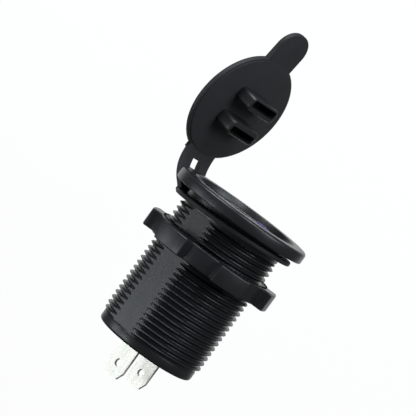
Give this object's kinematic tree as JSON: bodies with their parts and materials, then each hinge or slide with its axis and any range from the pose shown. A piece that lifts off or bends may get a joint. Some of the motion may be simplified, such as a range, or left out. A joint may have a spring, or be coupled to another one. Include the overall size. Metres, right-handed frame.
{
  "type": "dual usb power socket",
  "caption": "Panel-mounted USB power socket with a round flange, threaded barrel, lugged nut, spade blades and a rubber cap on a bent strap.",
  "frame": {"origin": "centre of the flange's underside, where it meets the panel", "axes": "+Z along the barrel's axis out of the panel to the front, -X towards the cap's strap, Y along the ports' long sides"},
  "size_m": [0.0414, 0.037, 0.0942],
  "materials": {
    "black_plastic": "satin",
    "nut_plastic": "satin",
    "black_rubber": "matte",
    "blue_lens": "gloss",
    "led_body": "gloss",
    "shell_metal": "satin",
    "insulator_plastic": "matte",
    "contact_metal": "satin",
    "blade_metal": "satin",
    "board": "satin",
    "component_dark": "matte",
    "component_pale": "matte",
    "can_metal": "satin"
  },
  "bodies": {
    "socket": {"housing": "black_plastic", "indicator_lens": "blue_lens", "rear_cover": "black_plastic", "circuit_board": "board", "power_inductor": "component_dark", "input_capacitor": "can_metal", "output_capacitor": "can_metal", "controller_chip": "component_dark", "rectifier_diode": "component_dark", "indicator_led": "led_body", "chip_components": "component_pale", "blade_positive": "blade_metal", "blade_negative": "blade_metal", "cap_ring": "black_rubber", "cap_strap": "black_rubber", "usb_shell_a": "shell_metal", "usb_shell_b": "shell_metal", "usb_insulator_a": "insulator_plastic", "usb_insulator_b": "insulator_plastic", "usb_contacts_a": "contact_metal", "usb_contacts_b": "contact_metal"},
    "cap": {"cap_lid": "black_rubber"},
    "nut": {"mounting_nut": "nut_plastic"}
  },
  "joints": [
    {"name": "lid_hinge", "type": "hinge", "parent": "socket", "child": "cap", "pos_m": [-0.0203, 0, 0.0013], "axis": [0, 1, 0], "range_deg": [-60, 82.4], "stiffness_Nm_per_rad": 0.02, "deforming": ["cap_strap"]},
    {"name": "nut_travel", "type": "slide", "parent": "socket", "child": "nut", "axis": [0, 0, 1], "range_m": [-0.058, 0.0055]}
  ]
}
